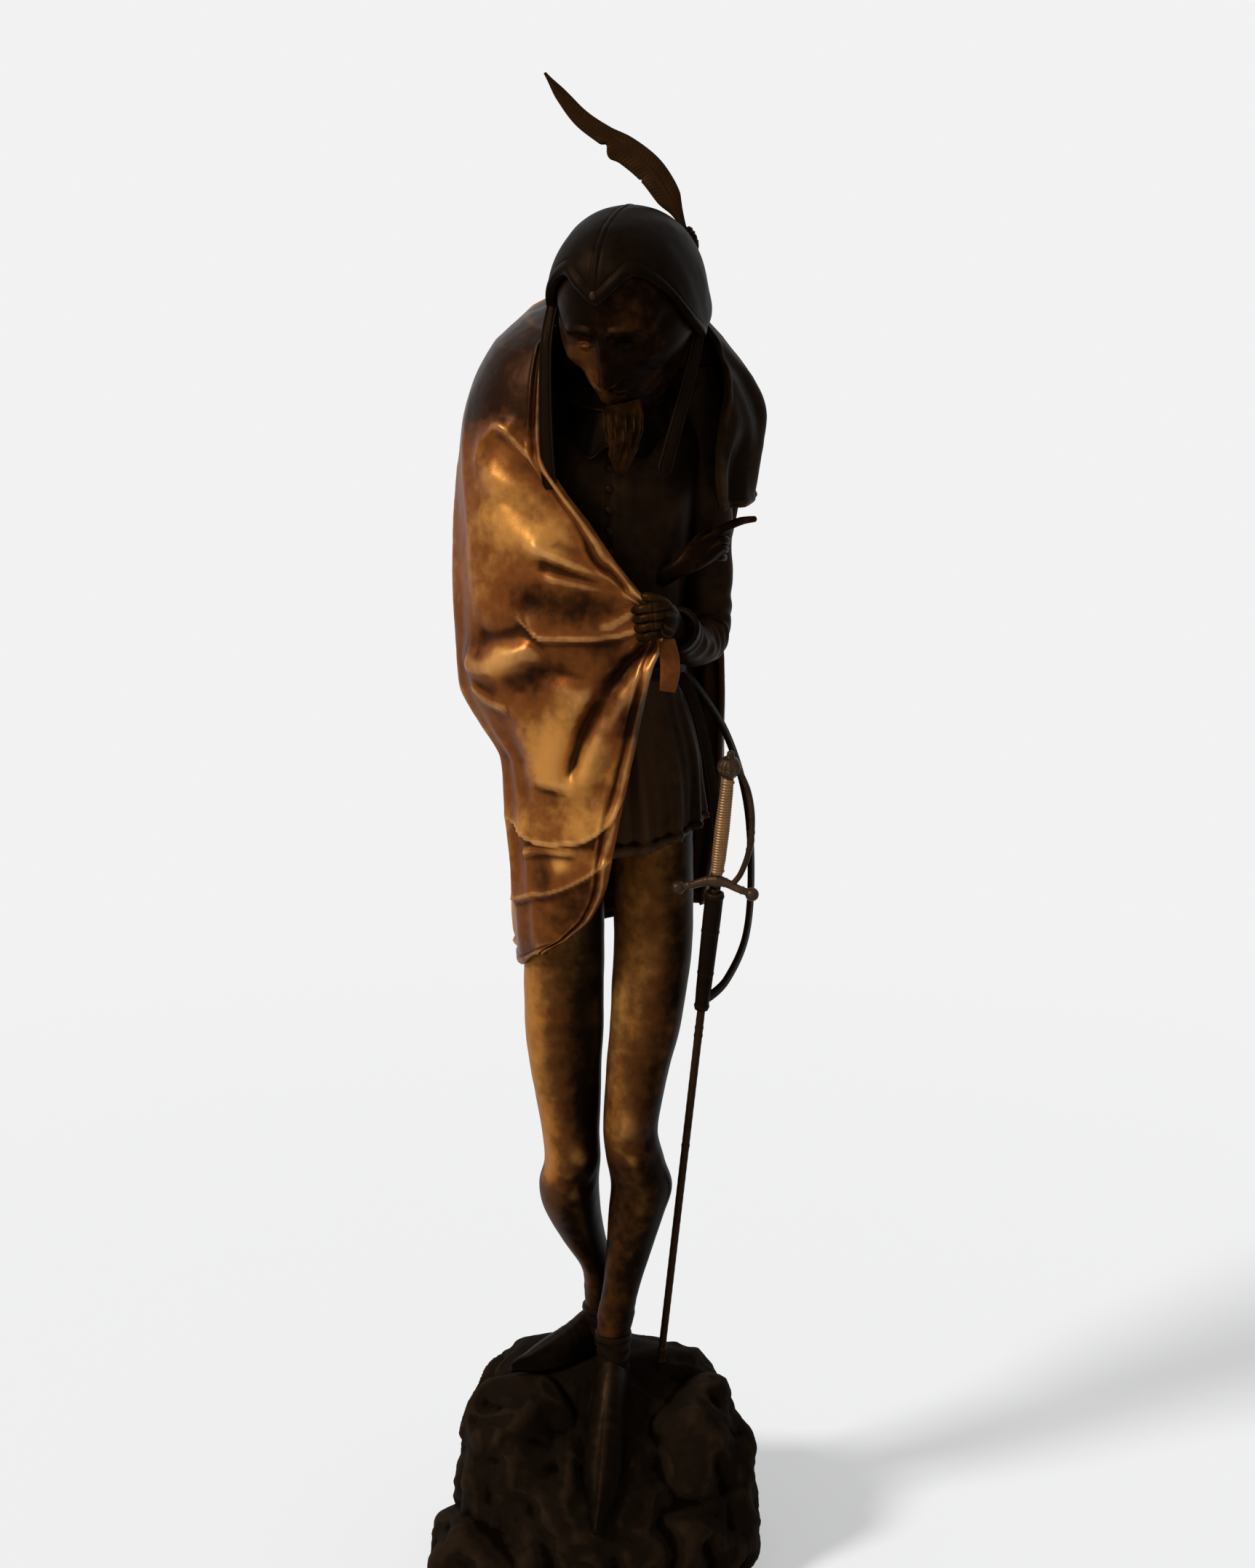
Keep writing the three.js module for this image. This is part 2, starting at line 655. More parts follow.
const hipBolts = [RIGHT_LEG[0], LEFT_LEG[0]].map(([, x, y]) => ({ x, y }));
const hipHoles = hipBolts.map(({ x, y }) => rod(vec(x, y, 460), vec(x, y, 492), STUD_RADIUS + CLEARANCE));
const trunkHollow = column(TRUNK.map(([z, x, y, halfX, halfY], i) => [
  i === 0 ? TRUNK_FLOOR + 8 : Math.min(z, TRUNK_TOP - 9),
  x,
  y,
  halfX - TRUNK_WALL,
  halfY - TRUNK_WALL,
]), 9, 12);
const neckHole = rod(vec(...NECK_STUD_AT, 680), vec(...NECK_STUD_AT, 720), STUD_RADIUS + CLEARANCE);
const rightPin = { from: vec(-32, 6, 665), to: vec(-32, 6, 715.7) };
const backPin = { from: vec(10, 27, 656), to: vec(10, 56.2, 656) };
const pinHoles = [rightPin, backPin].map(({ from, to }) => longer(from, to, PIN_RADIUS + CLEARANCE));
// The stud that holds the right hand to the trunk.
const handStud = { from: vec(33, -19, 600), to: vec(51, -29.8, 610.8), radius: 1.6 };
const handHole = longer(handStud.from, handStud.to, handStud.radius + CLEARANCE);
const chest = (turn, z) => 0.03 * bell(z - 640, 30) * Math.cos(2 * turn);
place('trunk', cut(column(TRUNK, 12, TRUNK_SIDES, chest), trunkHollow, ...hipHoles, neckHole, ...pinHoles, handHole), 'dark');
for (const [i, side] of ['right', 'left'].entries()) {
  const { x, y } = hipBolts[i];
  const shank = rod(vec(x, y, LEG_TOP - 23), vec(x, y, TRUNK_FLOOR + 9), STUD_RADIUS);
  const head = rod(vec(x, y, TRUNK_FLOOR + 8 + CLEARANCE), vec(x, y, TRUNK_FLOOR + 13), NUT_RADIUS, 6);
  place(`hip_bolt_${side}`, join(shank, head), 'fixing');
}

// Tunic skirt below the belt, pleated, with a hem that rises toward the hips.
const SKIRT = [
  [545, -32, 50, -28, 32.5],
  [528, -35, 53, -30, 34],
  [500, -40.4, 59.5, -34.5, 37],
  [474, -41.8, 62.5, -36.5, 39],
  [447, -42.2, 65, -38, 41],
];
function skirtSkin(out) {
  return (u, v) => {
    const turn = u * 2 * Math.PI;
    const [z, left, right, front, back] = rowAt(SKIRT, v * (SKIRT.length - 1));
    const pleat = 1.5 * v * Math.cos(turn * 15 + 1.2 * Math.sin(turn * 2));
    const side = Math.sin(turn);
    const facing = Math.cos(turn);
    const halfX = side > 0 ? right - 9 : 9 - left;
    const halfY = facing > 0 ? 3 - front : back - 3;
    const rise = 13 * v * v * v * side * side;
    const reach = out + (side < -0.4 ? 0 : pleat);
    return vec(9 + side * (halfX + reach), 3 - facing * (halfY + reach), z + rise);
  };
}
place('tunic_skirt', wall(skirtSkin(0), skirtSkin(-2.4), 38, 3, true), 'dark', ['trunk']);
function beltSkin(out) {
  return (u, v) => {
    const turn = u * 2 * Math.PI;
    const z = BELT_TOP - BELT_HEIGHT * v;
    const [, x, y, halfX, halfY] = rowAt(TRUNK, placeOf(TRUNK, z));
    return vec(x + (halfX + out) * Math.sin(turn), y - (halfY + out) * Math.cos(turn), z);
  };
}
place('belt', wall(beltSkin(5), beltSkin(-1), TRUNK_SIDES, 2, true), 'dark', ['trunk']);

// Head and cap.

const headTurn = new THREE.Matrix4()
  .makeRotationZ(HEAD_YAW)
  .multiply(new THREE.Matrix4().makeRotationX(HEAD_PITCH));

function headPoint(x, y, z) {
  return vec(x, y, z).applyMatrix4(headTurn).add(HEAD_CENTRE);
}

// Soft forms of a plain face: side place, height place, side width, height width, height.
const FACE_FORMS = [
  [0.00, -0.08, 0.06, 0.14, 5],
  [0.00, -0.33, 0.08, 0.08, 12],
  [0.25, 0.19, 0.17, 0.05, 3],
  [0.28, 0.02, 0.12, 0.08, -2.5],
  [0.50, -0.17, 0.14, 0.10, 2.5],
  [0.46, -0.50, 0.13, 0.14, -2.6],
  [0.00, -0.535, 0.17, 0.035, 2.6],
  [0.00, -0.615, 0.13, 0.035, 2.8],
  [0.00, -0.78, 0.15, 0.10, 4.2],
];

function headReach(way) {
  const jaw = 1 - 0.3 * smooth(0.15, 0.95, -way.z);
  const depth = way.y < 0 ? HEAD_HALF.front : HEAD_HALF.back;
  const height = way.z > 0 ? HEAD_HALF.up : HEAD_HALF.down;
  const parts = [way.x / (HEAD_HALF.side * jaw), way.y / depth, way.z / height];
  let reach = parts.reduce((sum, p) => sum + Math.abs(p) ** 2.3, 0) ** (-1 / 2.3);
  if (way.y < 0) {
    for (const [side, rise, wide, high, out] of FACE_FORMS) {
      const near = bell(Math.abs(way.x) - side, wide) * bell(way.z - rise, high);
      reach += out * near * smooth(0, 0.4, -way.y);
    }
  }
  return reach;
}

const skull = boulder(24, 18, headReach, vec(0, 0, 0));
skull.applyMatrix4(headTurn);
skull.translate(HEAD_CENTRE.x, HEAD_CENTRE.y, HEAD_CENTRE.z);
const neck = column([
  [TRUNK_TOP + CLEARANCE, 14, 3, 20, 20],
  [716, 15, -3, 18.5, 19],
  [730, 17, -14, 18.5, 20],
  [745, 19, -24, 18, 20],
], 6, 16);
const beard = bar([
  headPoint(0, -31, -40).toArray(),
  headPoint(0, -35, -50).toArray(),
  headPoint(0, -39, -60).toArray(),
  headPoint(0, -43, -72).toArray(),
], [[11, 7], [9.5, 6.5], [6, 5], [1, 1]], 12, headPoint(0, -1, 0).sub(HEAD_CENTRE));
place('head', cut(join(skull, neck, beard), rod(vec(...NECK_STUD_AT, 700), vec(...NECK_STUD_AT, 728), STUD_RADIUS + CLEARANCE)), 'skin', ['trunk']);
place('neck_stud', rod(vec(...NECK_STUD_AT, 684), vec(...NECK_STUD_AT, 728 - CLEARANCE), STUD_RADIUS), 'fixing');
const neckNutTop = TRUNK_TOP - 9 - CLEARANCE;
const neckNut = rod(vec(...NECK_STUD_AT, neckNutTop - 6), vec(...NECK_STUD_AT, neckNutTop), NUT_RADIUS, 6);
place('neck_nut', cut(neckNut, neckHole), 'fixing', ['trunk']);

// The cap's edge: turn from the face, height angle. It dips to a point over the brow.
const CAP_EDGE = [
  [0, 30],
  [14, 38],
  [34, 45],
  [56, 30],
  [78, -4],
  [100, -26],
  [140, -36],
  [180, -38],
];
function capSkin(out) {
  return (u, v) => {
    const turn = u * 360 - 180;
    const edge = rowAt(CAP_EDGE, placeOf(CAP_EDGE, Math.abs(turn)))[1];
    const rise = THREE.MathUtils.degToRad(edge + (88 - edge) * v);
    const side = THREE.MathUtils.degToRad(turn);
    const way = vec(Math.cos(rise) * Math.sin(side), -Math.cos(rise) * Math.cos(side), Math.sin(rise));
    const rim = out > CAP_GAP ? 1.2 * bell(v, 0.12) : 0;
    const reach = headReach(way) + out + rim;
    return headPoint(way.x * reach, way.y * reach, way.z * reach);
  };
}
function capCrown(out) {
  const reach = headReach(vec(0, 0, 1)) + out;
  return headPoint(0, 0, reach);
}
const capShell = wall(capSkin(CAP_THICKNESS), capSkin(CAP_GAP), 28, 7, true);
const crown = join(
  capShell,
  bar([capCrown(CAP_GAP + 0.4).toArray(), capCrown(CAP_THICKNESS).toArray()], [[4, 4], [3, 3]], 8, vec(1, 0, 0)),
);
const claspWay = vec(
  Math.cos(CLASP_SEAT.rise) * Math.sin(CLASP_SEAT.turn),
  -Math.cos(CLASP_SEAT.rise) * Math.cos(CLASP_SEAT.turn),
  Math.sin(CLASP_SEAT.rise),
);
claspWay.multiplyScalar(headReach(claspWay) + CAP_THICKNESS + CLASP_PROUD);
const claspAt = headPoint(claspWay.x, claspWay.y, claspWay.z);
const claspEnd = claspAt.clone().addScaledVector(STEM_LINE, -PEG.length - 4);
const clasp = turned(claspEnd, STEM_LINE, [[0, 2.4], [3, 3.8], [PEG.length, 4.2], [PEG.length + 4, 3.4]], 14);
const claspBore = rod(
  claspAt.clone().addScaledVector(STEM_LINE, -PEG.length - CLEARANCE),
  claspAt.clone().addScaledVector(STEM_LINE, 3),
  PEG.radius + CLEARANCE,
  14,
);
place('cap', cut(crown, claspBore), 'dark', ['head']);

place('feather_clasp', cut(clasp, claspBore), 'dark', ['cap', 'head']);

// The feather: points from the clasp outward, half width, half thickness.
const FEATHER = [
  [0, 1.6, 1.6],
  [0.08, 3.4, 1.8],
  [0.16, 6.8, 1.9],
  [0.28, 7.8, 2.0],
  [0.40, 7.9, 1.9],
  [0.50, 7.4, 1.8],
  [0.58, 5.6, 1.7],
  [0.74, 4.8, 1.5],
  [0.88, 3.4, 1.2],
  [1.00, 0.8, 0.7],
];
// How the feather leans and bends beyond its stem, from the clasp's mouth.
const FEATHER_BEND = [
  [-18.5, 9, 31],
  [-36.5, 14, 45],
  [-54, 18, 57],
  [-65, 20, 69],
  [-75, 22, 82],
];
const featherBend = [
  claspAt.clone().addScaledVector(STEM_LINE, 0.4),
  claspAt.clone().addScaledVector(STEM_LINE, 14),
  ...FEATHER_BEND.map((step) => claspAt.clone().add(at(step))),
];
const featherCurve = new THREE.CatmullRomCurve3(featherBend, false, 'centripetal');
const featherPath = FEATHER.map(([share]) => featherCurve.getPoint(share).toArray());
const plume = bar(featherPath, FEATHER.map(([, wide, thick]) => [wide, thick]), 10, vec(0.1, -1, 0.15));
const peg = rod(
  claspAt.clone().addScaledVector(STEM_LINE, -PEG.length),
  claspAt.clone().addScaledVector(STEM_LINE, 3),
  PEG.radius,
  10,
);
place('feather', join(plume, peg), 'sword');

// Cloak.

function cloakTurnAt(z, x) {
  const [, left, right] = rowAt(CLOAK_ROWS, placeOf(CLOAK_ROWS, z));
  const share = x < CLOAK_AXIS.x
    ? (CLOAK_AXIS.x - x) / (CLOAK_AXIS.x - left)
    : (CLOAK_AXIS.x - x) / (right - CLOAK_AXIS.x);
  const sine = Math.sign(share) * Math.min(Math.abs(share), 1) ** (1 / CLOAK_ROUNDING);
  return Math.asin(sine);
}

function cloakBase(turn, level) {
  const [z, left, right, front, back, drop] = rowAt(CLOAK_ROWS, level);
  const side = Math.sin(turn);
  const facing = Math.cos(turn);
  const halfX = side > 0 ? CLOAK_AXIS.x - left : right - CLOAK_AXIS.x;
  const halfY = facing > 0 ? CLOAK_AXIS.y - front : back - CLOAK_AXIS.y;
  const bendX = Math.sign(side) * Math.abs(side) ** CLOAK_ROUNDING;
  const bendY = Math.sign(facing) * Math.abs(facing) ** CLOAK_ROUNDING;
  return vec(CLOAK_AXIS.x - bendX * halfX, CLOAK_AXIS.y - bendY * halfY, z - drop * facing);
}

function cloakOut(turn, level) {
  const step = 0.02;
  const last = CLOAK_ROWS.length - 1;
  const up = cloakBase(turn, Math.max(level - step, 0));
  const down = cloakBase(turn, Math.min(level + step, last));
  const across = cloakBase(turn + step, level).sub(cloakBase(turn - step, level));
  const out = across.cross(up.sub(down)).normalize();
  const spot = cloakBase(turn, level);
  const away = vec(spot.x - CLOAK_AXIS.x, spot.y - CLOAK_AXIS.y, 0);
  return out.dot(away) < 0 ? out.negate() : out;
}

const wayRound = (turn) => (turn - GATHER.turn) * GATHER.spread;

// Fold lines as finer points, each a way round the cloak and a height.
function drawn(folds, placed) {
  return folds.map(([height, width, stepUp, ...points]) => {
    const last = points.length - 1;
    const count = last * FOLD_FINENESS;
    const line = Array.from({ length: count + 1 }, (_, i) => placed(rowAt(points, (i / count) * last)));
    return { height, width, stepUp, line };
  });
}
const foldLines = [
  ...drawn(FRONT_FOLDS, ([x, z]) => [wayRound(cloakTurnAt(z, x)), z]),
  ...drawn(SIDE_FOLDS, (point) => point),
];

// How far a point is from a line, its share of the line there and how far it is above it.
function nearestOn(line, along, z) {
  let far = Infinity;
  let share = 0;
  let above = 0;
  for (let k = 1; k < line.length; k += 1) {
    const [fromX, fromZ] = line[k - 1];
    const stepX = line[k][0] - fromX;
    const stepZ = line[k][1] - fromZ;
    const part = ((along - fromX) * stepX + (z - fromZ) * stepZ) / (stepX * stepX + stepZ * stepZ);
    const held = THREE.MathUtils.clamp(part, 0, 1);
    const away = Math.hypot(along - fromX - held * stepX, z - fromZ - held * stepZ);
    if (away < far) {
      far = away;
      share = (k - 1 + held) / (line.length - 1);
      above = Math.sign(stepZ * (along - fromX) - stepX * (z - fromZ)) * away;
    }
  }
  return { far, share, above };
}

// Height of the wrap's folds. Each fades toward both ends of its line.
function wrapFolds(along, z) {
  return foldLines.reduce((sum, { height, width, stepUp, line }) => {
    const { far, share, above } = nearestOn(line, along, z);
    const ends = smooth(0, 0.16, share) * (1 - smooth(0.84, 1, share));
    const raised = stepUp * smooth(-0.8, 0.8, above) * bell(far, STEP_FADE) * ends;
    return sum + height * bell(far, width) * (0.3 + 0.7 * ends) + raised;
  }, 0);
}

const levelOf = (z) => placeOf(CLOAK_ROWS, z);
const HEM = CLOAK_ROWS[CLOAK_ROWS.length - 1][0];
const TOP = CLOAK_ROWS[0][0];

function frontSkin(depth) {
  return (u, v) => {
    const z = HEM + (TOP - HEM) * (1 - (1 - v) ** 1.15);
    const edge = cloakTurnAt(z, rowAt(WRAP_EDGE, placeOf(WRAP_EDGE, z))[1]);
    const turn = edge + (SEAM_FRONT - edge) * u;
    const level = levelOf(z);
    const spot = cloakBase(turn, level);
    const out = cloakOut(turn, level);
    const calm = (1 - smooth(0.93, 1, u) * 0.6) * (1 - 0.8 * smooth(725, 748, z));
    const lift = wrapFolds(wayRound(turn), z) * calm;
    const tuck = 6 * bell(z - GATHER.z, 22) * bell(u, 0.12);
    const dip = 14 * (1 - smooth(0, 0.6, u)) * (1 - smooth(HEM, HEM + 60, z));
    return spot.addScaledVector(out, lift - depth - tuck * 0.3).add(vec(0, 0, dip));
  };
}
const SEAM_GAP = THREE.MathUtils.degToRad(0.25);

function backSkin(depth) {
  return (u, v) => {
    const turn = SEAM_FRONT + SEAM_GAP + (SEAM_LEFT - SEAM_FRONT - 2 * SEAM_GAP) * u;
    const hem = HEM + BACK_HEM_RISE * smooth(0, 1, u);
    const z = hem + (TOP - hem) * (1 - (1 - v) ** 1.15);
    const level = levelOf(z);
    const spot = cloakBase(turn, level);
    const deep = 4.6 * (1 - smooth(HEM, 735, z));
    const calm = smooth(0, 0.08, u) * (1 - smooth(0.94, 1, u) * 0.7);
    const wave = Math.cos(turn * 9 + 0.6 * Math.sin(z / 60)) + 0.5 * Math.cos(turn * 15 - z / 70);
    return spot.addScaledVector(cloakOut(turn, level), deep * wave * calm - depth);
  };
}

function leftSkin(depth) {
  return (u, v) => {
    const z = SHOULDER_HEM + (TOP - SHOULDER_HEM) * v;
    const edge = cloakTurnAt(z, rowAt(SHOULDER_EDGE, placeOf(SHOULDER_EDGE, z))[1]) + 2 * Math.PI;
    const start = SEAM_LEFT + SEAM_GAP;
    const turn = start + (edge - start) * u;
    const level = levelOf(z);
    const spot = cloakBase(turn, level);
    const deep = 2.4 * (1 - smooth(700, 748, z)) * smooth(0, 0.1, u);
    const wave = Math.cos(turn * 13 + z / 40) + 0.4 * Math.cos(turn * 23 - z / 35);
    return spot.addScaledVector(cloakOut(turn, level), deep * wave - depth);
  };
}

const rightBoss = rod(vec(-32, 6, 680), vec(-32, 6, 740), 6.5, 16);
// A corner of cloth that hangs out below the hand.
const flap = bar([
  [39.5, -55.5, 577],
  [41.5, -58.5, 567],
  [42, -60, 556],
  [40.5, -60.5, 546],
], [[4, 1.6], [5.2, 1.5], [5.4, 1.5], [4.4, 1.3]], 8, vec(0.2, -1, 0.1));
const frontWall = join(wall(frontSkin(0), frontSkin(CLOAK_WALL), 26, 30, false), rightBoss, flap);
const pinRight = longer(rightPin.from, rightPin.to, PIN_RADIUS + 2 * CLEARANCE);
place('cloak_front', cut(frontWall, pinRight), 'cloak', ['trunk', 'leg_right', 'tunic_skirt', 'cap']);
const backBoss = rod(vec(10, 34, 656), vec(10, 58.5, 656), 6.5, 16);
const backWall = join(wall(backSkin(0), backSkin(CLOAK_WALL), 18, 10, false), backBoss);
const pinBack = longer(backPin.from, backPin.to, PIN_RADIUS + 2 * CLEARANCE);
place('cloak_back', cut(backWall, pinBack), 'cloak', ['trunk', 'cloak_front', 'tunic_skirt', 'leg_right']);
place('cloak_left', wall(leftSkin(0), leftSkin(CLOAK_WALL), 12, 12, false), 'dark', ['cloak_back', 'cap', 'head']);
place('cloak_pin_right', rod(rightPin.from, rightPin.to, PIN_RADIUS), 'fixing');
place('cloak_pin_back', rod(backPin.from, backPin.to, PIN_RADIUS), 'fixing');

// Left arm.

const SLEEVE = [
  [54, 10, 716, 15, 17],
  [57, 10, 696, 18, 19],
  [60, 10, 660, 16.5, 17],
  [62, 9, 624, 15, 15.5],
  [63.5, 7, 592, 14.2, 14.6],
  [63, 1, 570, 13.4, 14.2],
  [58, -15, 564, 12, 13],
  [52, -31, 569, 10.6, 11.4],
  [48, -42, 574.5, 9.8, 10.4],
];
const armPath = [];
const armSizes = [];
for (let i = 0; i <= 16; i += 1) {
  const [x, y, z, wide, thick] = rowAt(SLEEVE, (i / 16) * (SLEEVE.length - 1));
  armPath.push([x, y, z]);
  armSizes.push([wide * (1 + 0.04 * Math.cos(i * 2.1)), thick]);
}
const sleeve = bar(armPath, armSizes, 14, vec(1, -0.35, 0.1));
const wristFrom = vec(50.5, -35, 571.5);
const wristTo = vec(42.5, -55.5, 582.5);
const wristHole = rod(wristFrom, wristTo, 1.8 + CLEARANCE, 12);
place('sleeve_left', cut(sleeve, wristHole), 'dark', ['trunk', 'cloak_left', 'cloak_back', 'cloak_front', 'belt', 'tunic_skirt']);
const cuff = bar([
  [48.6, -40.4, 573.8],
  [46.6, -45.8, 576.6],
  [45.2, -49.6, 578.6],
], [[11.6, 12], [11.2, 11.4], [12.2, 12.6]], 16, vec(1, -0.35, 0.1));
place('cuff_left', cut(cuff, wristHole), 'dark', ['sleeve_left', 'cloak_front']);
const palm = bar([
  [46.4, -46.4, 577],
  [43.6, -53, 581],
  [40.4, -60.5, 585],
  [36.5, -66, 587],
], [[7.2, 5.6], [7.6, 5.6], [10.2, 5.4], [9, 4.2]], 12, vec(0.75, -0.6, 0.2));
const fingers = [];
for (let i = 0; i < 4; i += 1) {
  const z = 594 - 5 * i;
  const reachOut = [1, 0, -0.6, -2][i];
  fingers.push(bar([
    [39, -65, z],
    [33.5, -69 - reachOut * 0.3, z - 0.4],
    [27.5 - reachOut, -69, z - 1.6],
    [24 - reachOut, -65.5, z - 2.8],
    [23.6 - reachOut, -62.5, z - 3.4],
  ], [[2.7, 2.8], [2.7, 2.8], [2.5, 2.6], [2.2, 2.3], [1.6, 1.6]], 6, vec(0, 0, 1)));
}
const thumb = bar([
  [43, -59, 588],
  [38, -64, 595],
  [31, -66, 598],
  [26.5, -64.5, 598.5],
], [[3.4, 3.4], [3.2, 3.2], [2.8, 2.8], [1.8, 1.8]], 8, vec(0, -1, 0));
place('hand_left', cut(join(palm, ...fingers, thumb), wristHole), 'skin', ['cuff_left', 'sleeve_left', 'cloak_front']);
const pinTrim = wristTo.clone().sub(wristFrom).normalize();
place('wrist_stud', rod(
  wristFrom.clone().addScaledVector(pinTrim, CLEARANCE),
  wristTo.clone().addScaledVector(pinTrim, -CLEARANCE),
  1.8,
  12,
), 'fixing');

// The right hand comes out from under the wrap and points past the left arm.
const rightPalm = bar([
  [37, -21.5, 602.5],
  [46, -27, 608],
  [54, -27, 613.5],
  [62, -22.5, 619.5],
  [68, -18.5, 623],
], [[5.4, 5], [5.2, 4.6], [7.2, 4.6], [8.6, 4.2], [8, 3.6]], 12, vec(0.45, -1, 0.35));
const pointing = bar([
  [66, -19.5, 626.5],
  [74, -18, 630.5],
  [82, -16, 633.5],
  [90.5, -14.5, 634.5],
], [[2.6, 2.6], [2.4, 2.4], [2.1, 2.1], [1.4, 1.4]], 8, vec(0, 0, 1));
const bent = [0, 1, 2].map((i) => bar([
  [66 - i, -20 + i * 0.6, 622.5 - i * 4.4],
  [72 - i, -17, 623 - i * 4.6],
  [75 - i, -11, 621.5 - i * 4.6],
], [[2.5, 2.5], [2.4, 2.4], [1.9, 1.9]], 7, vec(0, 0, 1)));
const rightHand = cut(join(rightPalm, pointing, ...bent), handHole);
place('hand_right', rightHand, 'skin', ['trunk', 'cloak_front', 'cloak_left', 'sleeve_left']);
const handTrim = handStud.to.clone().sub(handStud.from).normalize();
place('hand_stud', rod(
  handStud.from.clone().addScaledVector(handTrim, CLEARANCE),
  handStud.to.clone().addScaledVector(handTrim, -CLEARANCE),
  handStud.radius,
  12,
), 'fixing');

// Lappets and collar.

const lappets = [
  ['lappet_right', [[-15.5, -33, 771], [-20.5, -39, 752], [-24, -45, 732], [-24.5, -50, 706], [-24, -54, 680], [-22.5, -55.5, 655]]],
  ['lappet_left', [[57, -25, 768], [58, -33, 748], [55, -42, 728], [49, -50, 704], [43, -54.5, 682], [38, -57, 664]]],
];
function collarSkin(out) {
  return (u, v) => {
    const turn = u * 2 * Math.PI;
    const facing = Math.cos(turn);
    const points = 9 * (bell(turn - 0.42, 0.2) + bell(turn - 2 * Math.PI + 0.42, 0.2));
    const low = 688 - 10 * facing - points * (1 - v);
    const z = low + 18 * v;
    const flare = 7 * (1 - v) * (1 - v);
    return vec(
      13 + (27 + out + flare) * Math.sin(turn),
      -3 - (29 + out + flare) * facing - 6 * facing * (1 - v),
      z,
    );
  };
}
place('collar', wall(collarSkin(2.6), collarSkin(0), 26, 2, true), 'dark', ['trunk', 'head', 'cloak_front', 'cloak_left', 'cloak_back', 'sleeve_left']);
for (const [name, path] of lappets) {
  const sizes = path.map((_, i) => [2.8 + 0.3 * i, 1.6]);
  const curve = new THREE.CatmullRomCurve3(path.map(at), false, 'centripetal');
  const finePath = Array.from({ length: 10 }, (_, i) => curve.getPoint(i / 9).toArray());
  const fineSizes = finePath.map((_, i) => rowAt(sizes, (i / 9) * (sizes.length - 1)));
  const strip = bar(finePath, fineSizes, 10, vec(name === 'lappet_right' ? -0.35 : 0.35, -0.93, 0));
  place(name, strip, 'dark', ['cap', 'head', 'trunk', 'collar', 'cloak_front', 'cloak_left', 'sleeve_left']);
}

// Sword.

const swordAt = (along) => SWORD_TIP.clone().addScaledVector(SWORD_LINE, along);
const crossLine = vec(SWORD_LINE.z, 0, -SWORD_LINE.x).normalize();
const faceLine = crossLine.clone().cross(SWORD_LINE).normalize();
function swordPoint(along, cross, face) {
  return swordAt(along).addScaledVector(crossLine, cross).addScaledVector(faceLine, face).toArray();
}
const { blade, chape, tang, guardAt, gripEnd, pommel, reach } = SWORD;
place('scabbard', turned(SWORD_TIP, SWORD_LINE, [
  [0, 1.2],
  [1.2, blade],
  [9, chape],
  [11, blade - 0.2],
  [guardAt - 3, blade],
  [guardAt - 2.4, tang],
  [gripEnd + 6, tang],
], 12), 'sword');
const tangHole = turned(SWORD_TIP, SWORD_LINE, [[guardAt - 12, tang + CLEARANCE], [gripEnd + 6 + CLEARANCE, tang + CLEARANCE]], 12);
const quillons = bar([
  swordPoint(guardAt - 3, -reach, 0),
  swordPoint(guardAt - 1, -reach * 0.7, 0),
  swordPoint(guardAt + 2, -reach * 0.3, 0),
  swordPoint(guardAt + 2.6, 0, 0),
  swordPoint(guardAt + 2, reach * 0.3, 0),
  swordPoint(guardAt - 1, reach * 0.7, 0),
  swordPoint(guardAt - 3, reach, 0),
], [[2.2, 2.2], [2, 2], [2.6, 2.6], [4.2, 3.6], [2.6, 2.6], [2, 2], [2.2, 2.2]], 8, faceLine);
const knobs = [-reach, reach].map((side) => ball(swordPoint(guardAt - 3.6, side, 0), [3.8, 3.8, 3.8], 8, 5));
place('guard', cut(join(quillons, ...knobs), tangHole), 'sword', ['scabbard']);
place('grip', cut(turned(SWORD_TIP, SWORD_LINE, [
  [guardAt + 7.2, 3.2],
  [guardAt + 16, 3.9],
  [guardAt + 34, 4.1],
  [gripEnd - 8, 3.6],
  [gripEnd - CLEARANCE, 3.1],
], 12), tangHole), 'sword');
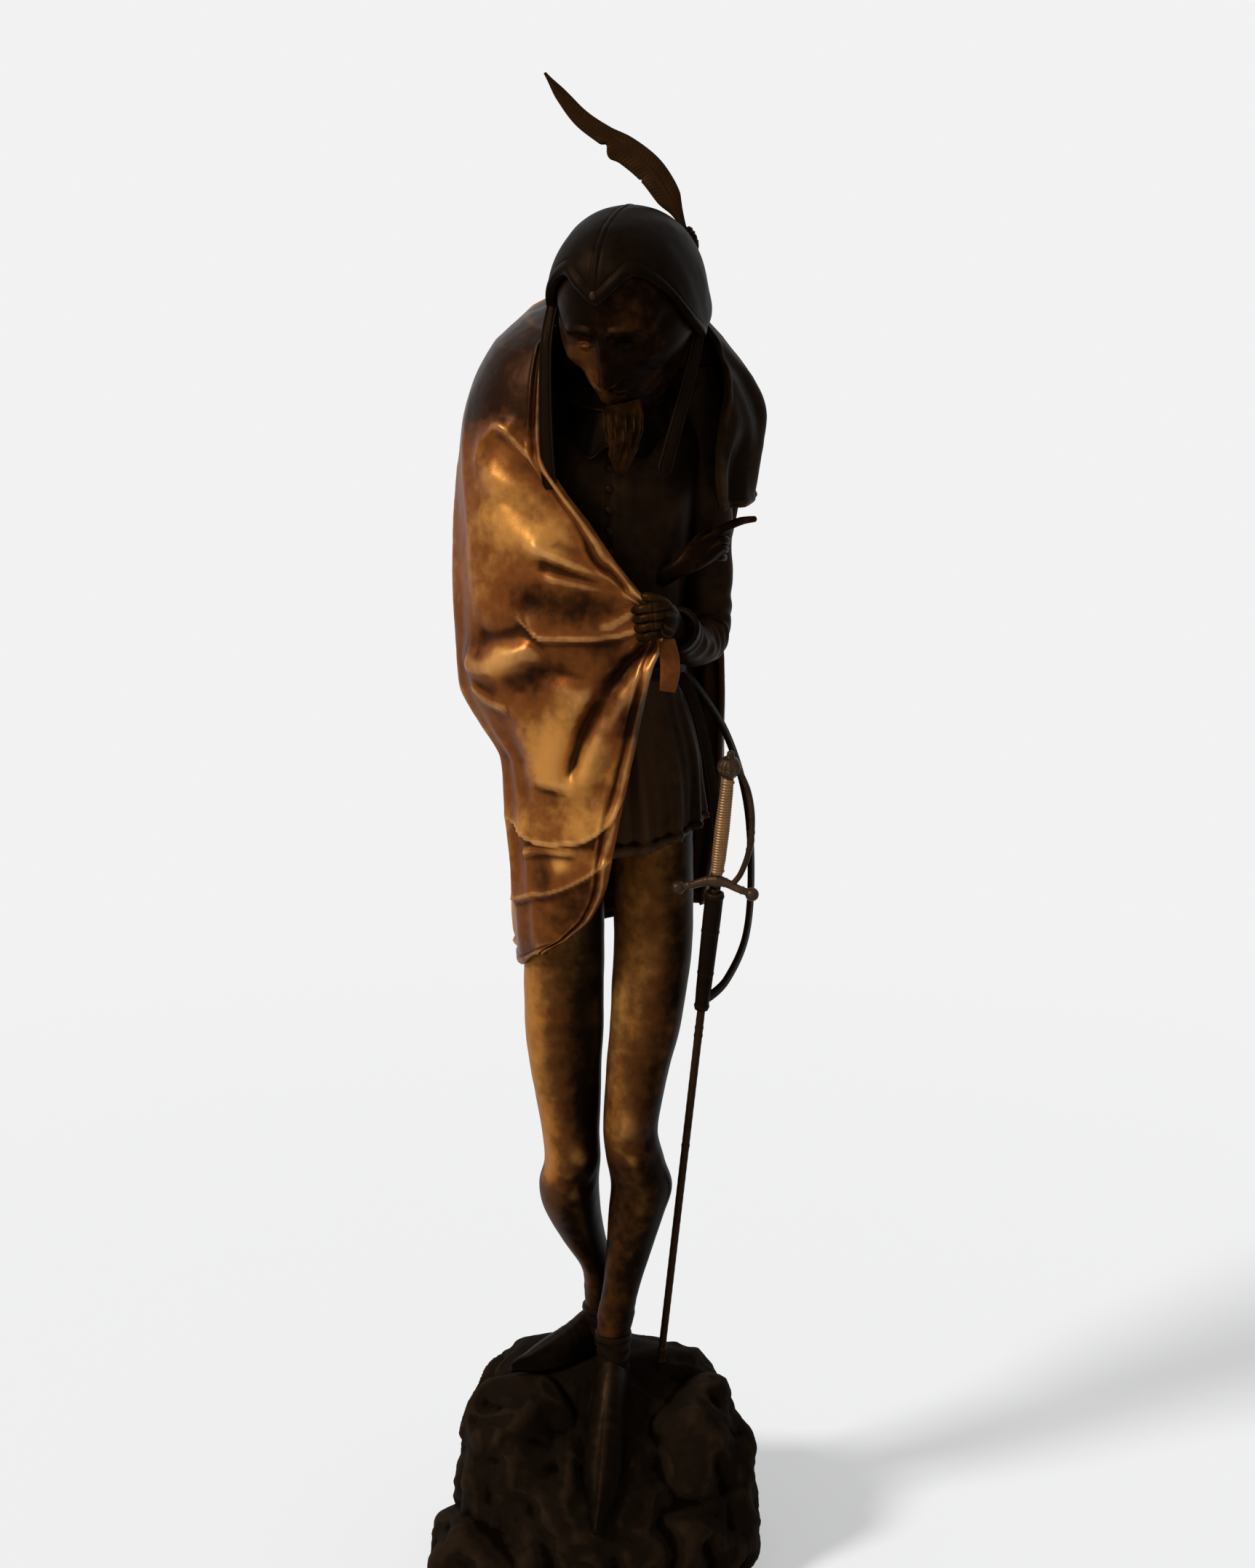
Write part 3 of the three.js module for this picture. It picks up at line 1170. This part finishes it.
place('pommel', cut(turned(SWORD_TIP, SWORD_LINE, [
  [gripEnd, 3],
  [gripEnd + 1.6, 4.6],
  [gripEnd + 4.4, pommel],
  [gripEnd + 8, pommel],
  [gripEnd + 11, 4.6],
  [gripEnd + 12.6, 2.4],
  [gripEnd + 15, 2],
  [gripEnd + 16, 0.8],
], 12), tangHole), 'sword');
place('knuckle_bow', bar([
  swordPoint(guardAt + 1, 9, 0),
  swordPoint(guardAt + 9, 13.5, 0),
  swordPoint(guardAt + 24, 16.5, 0),
  swordPoint(guardAt + 42, 16, 0),
  swordPoint(guardAt + 58, 12, 0),
  swordPoint(gripEnd + 6, 5, 0),
], [[1.7, 1.7], [1.6, 1.6], [1.6, 1.6], [1.6, 1.6], [1.6, 1.6], [1.7, 1.7]], 8, faceLine), 'sword', ['guard', 'pommel']);

// The frog is a sleeve round the scabbard, hung from the belt by two straps.
const frog = turned(SWORD_TIP, SWORD_LINE, [
  [FROG.from, 3.9],
  [FROG.from + 12, 4.4],
  [FROG.to - 16, FROG.radius],
  [FROG.to, FROG.radius],
], 14);
const frogBore = turned(SWORD_TIP, SWORD_LINE, [[FROG.from - 6, FROG.bore], [FROG.to + 4, FROG.bore]], 12);
const frontStrap = bar([
  [48, -13, 547],
  [56, -16, 532],
  [64, -19, 500],
  [69, -20, 466],
  [70, -22, 440],
  swordPoint(FROG.to - 8, 0, -3.6),
], [[3.4, 1.3], [3.4, 1.3], [3.2, 1.3], [3, 1.3], [2.8, 1.3], [2.8, 1.6]], 8, vec(0.6, -0.8, 0));
const backStrap = bar([
  [48, 7, 547],
  [60, 7, 534],
  [76, 4, 508],
  [87, 0, 472],
  [90, -5, 430],
  [87, -12, 394],
  [76, -19, 370],
  swordPoint(FROG.from + 6, 2.6, -1.5),
], [[3.4, 1.3], [3.4, 1.3], [3.4, 1.3], [3.4, 1.3], [3.4, 1.3], [3.2, 1.3], [3, 1.4], [2.8, 1.6]], 8, vec(1, -0.35, 0.1));
place('sword_hanger', cut(join(frog, frontStrap, backStrap), frogBore), 'dark',
  ['belt', 'tunic_skirt', 'cloak_back', 'leg_left']);

export default statue;
